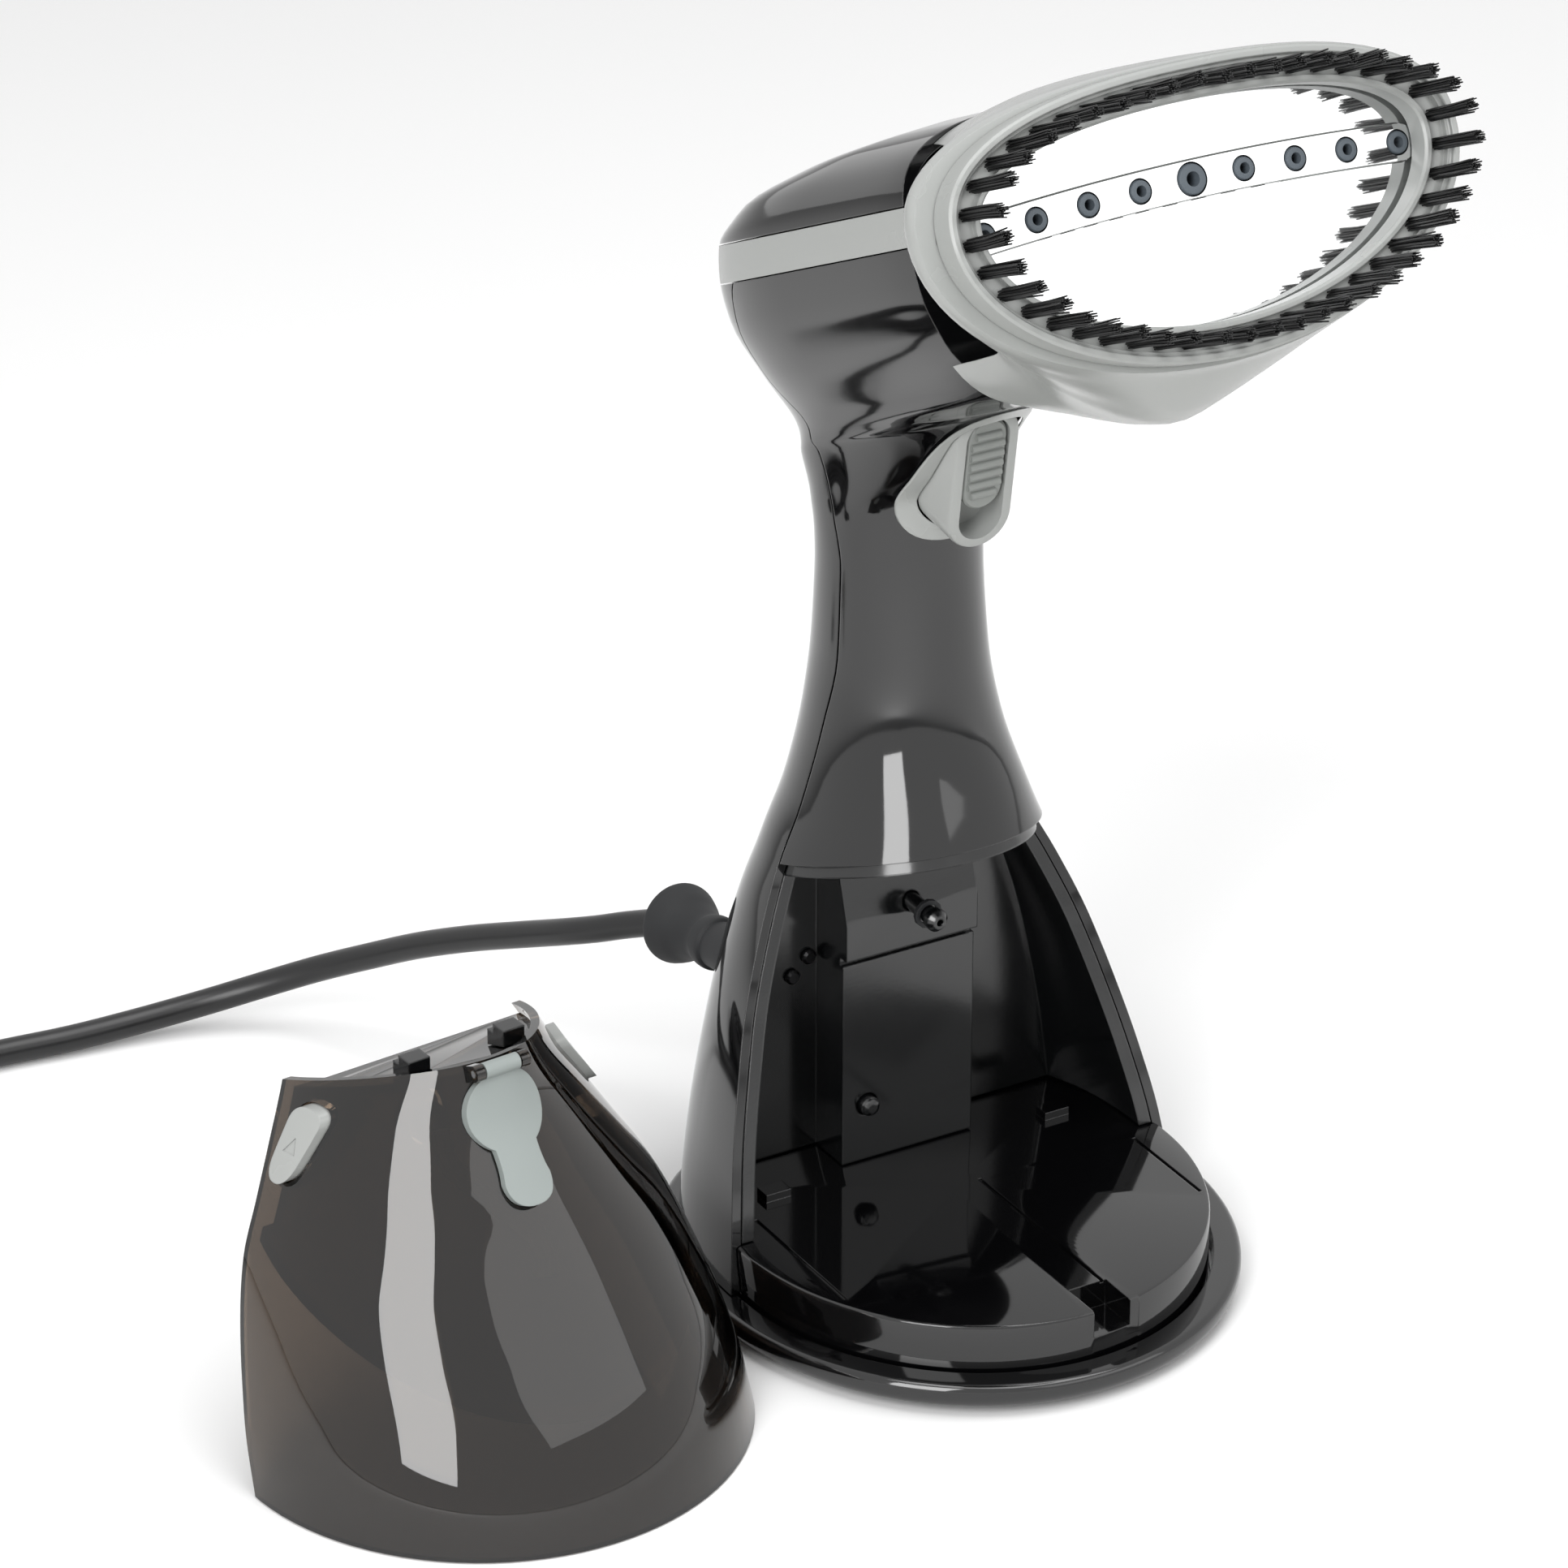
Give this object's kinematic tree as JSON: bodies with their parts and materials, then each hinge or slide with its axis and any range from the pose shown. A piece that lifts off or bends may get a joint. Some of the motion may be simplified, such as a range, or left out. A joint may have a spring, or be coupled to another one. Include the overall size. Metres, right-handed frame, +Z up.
{
  "type": "garment steamer",
  "caption": "Upright garment steamer with a lift-out water tank, hinged filler cap, tilted steaming head, clip-on bristle ring, hand trigger and coiled mains lead.",
  "frame": {"origin": "on the table under the base, at the centre of the body's footprint", "axes": "+Z up, -Y the way the steaming face looks, +X to the right of someone who faces the steaming face from in front of it"},
  "size_m": [0.3839, 0.3751, 0.2998],
  "materials": {
    "black_gloss": "high gloss, injection moulded",
    "black_satin": "satin, injection moulded",
    "light_grey": "fine satin, injection moulded",
    "mid_grey": "fine satin, injection moulded",
    "cap_grey": "fine satin, injection moulded",
    "smoked_clear": "clear smoked plastic, polished",
    "rubber": "matt",
    "lead_black": "smooth, slightly glossy",
    "silicone": "translucent white",
    "white_plastic": "satin",
    "bristle": "fine strands",
    "nozzle_grey": "satin",
    "polished_steel": "mirror polished stainless steel",
    "bright_steel": "zinc plated",
    "cast_aluminium": "as cast",
    "plug_brass": "nickel plated"
  },
  "bodies": {
    "body": {"base_rim": "black_gloss", "base_plinth": "black_gloss", "base_plate": "black_satin", "rear_shell": "black_gloss", "front_shell": "black_gloss", "band_trim": "light_grey", "top_cover": "black_gloss", "bay_liner": "black_satin", "inlet_spout": "black_satin", "spout_seal": "rubber", "tank_switch": "black_satin", "nozzle_housing": "light_grey", "soleplate": "polished_steel", "nozzle_strip": "nozzle_grey", "steam_block": "cast_aluminium", "thermostat": "bright_steel", "pump": "white_plastic", "pump_cradle": "rubber", "water_hose": "silicone", "trigger_plate": "light_grey", "trigger_pin": "bright_steel", "steam_switch": "black_satin", "trigger_spring": "bright_steel", "cord_guard": "rubber", "cord_clamp": "black_satin", "cord": "lead_black", "cord_coil": "lead_black", "cord_tail": "lead_black", "plug": "lead_black", "rubber_foot_1": "rubber", "rubber_foot_2": "rubber", "rubber_foot_3": "rubber", "rubber_foot_4": "rubber", "case_screw_1": "bright_steel", "case_screw_2": "bright_steel", "clamp_screw_1": "bright_steel", "clamp_screw_2": "bright_steel", "plug_pin_left": "plug_brass", "plug_pin_right": "plug_brass"},
    "bay_button": {"bay_button": "black_satin"},
    "trigger": {"trigger": "light_grey"},
    "steam_lock": {"steam_lock": "mid_grey"},
    "brush": {"brush_ring": "light_grey", "bristles_upper_right": "bristle", "bristles_upper_left": "bristle", "bristles_lower_left": "bristle", "bristles_lower_right": "bristle"},
    "tank": {"tank_shell": "smoked_clear", "tank_reservoir": "smoked_clear", "tank_outlet": "black_satin", "suction_tube": "silicone", "strainer": "black_satin", "fill_cap_pin": "bright_steel"},
    "fill_cap": {"fill_cap": "cap_grey"},
    "release_left": {"release_button_left": "light_grey", "latch_left": "black_satin"},
    "release_right": {"release_button_right": "light_grey", "latch_right": "black_satin"}
  },
  "joints": [
    {"name": "tank_lift", "type": "slide", "parent": "body", "child": "tank", "axis": [0, 0, 1], "range_m": [0, 0.2]},
    {"name": "fill_cap_hinge", "type": "hinge", "parent": "tank", "child": "fill_cap", "pos_m": [-0.11398, -0.0089, 0.08524], "axis": [-0.9962, -0.0872, 0], "range_deg": [0, 100]},
    {"name": "release_left_press", "type": "slide", "parent": "tank", "child": "release_left", "axis": [0.9962, 0.0872, 0], "range_m": [0, 0.0018], "stiffness_N_per_m": 700, "springref_m": -0.001},
    {"name": "release_right_press", "type": "slide", "parent": "tank", "child": "release_right", "axis": [-0.9962, -0.0872, 0], "range_m": [0, 0.0018], "stiffness_N_per_m": 700, "springref_m": -0.001},
    {"name": "brush_pull", "type": "slide", "parent": "body", "child": "brush", "axis": [0, -0.9048, 0.4258], "range_m": [0, 0.045]},
    {"name": "trigger_press", "type": "hinge", "parent": "body", "child": "trigger", "pos_m": [0, 0.00299, 0.1968], "axis": [1, 0, 0], "range_deg": [0, 7], "stiffness_Nm_per_rad": 0.35, "springref_deg": -5.73, "deforming": ["trigger_spring"]},
    {"name": "steam_lock_slide", "type": "slide", "parent": "trigger", "child": "steam_lock", "axis": [0, 0.1478, -0.989], "range_m": [0, 0.0028]},
    {"name": "bay_button_press", "type": "slide", "parent": "body", "child": "bay_button", "axis": [0, 1, 0], "range_m": [0, 0.0016], "stiffness_N_per_m": 500, "springref_m": -0.001}
  ]
}
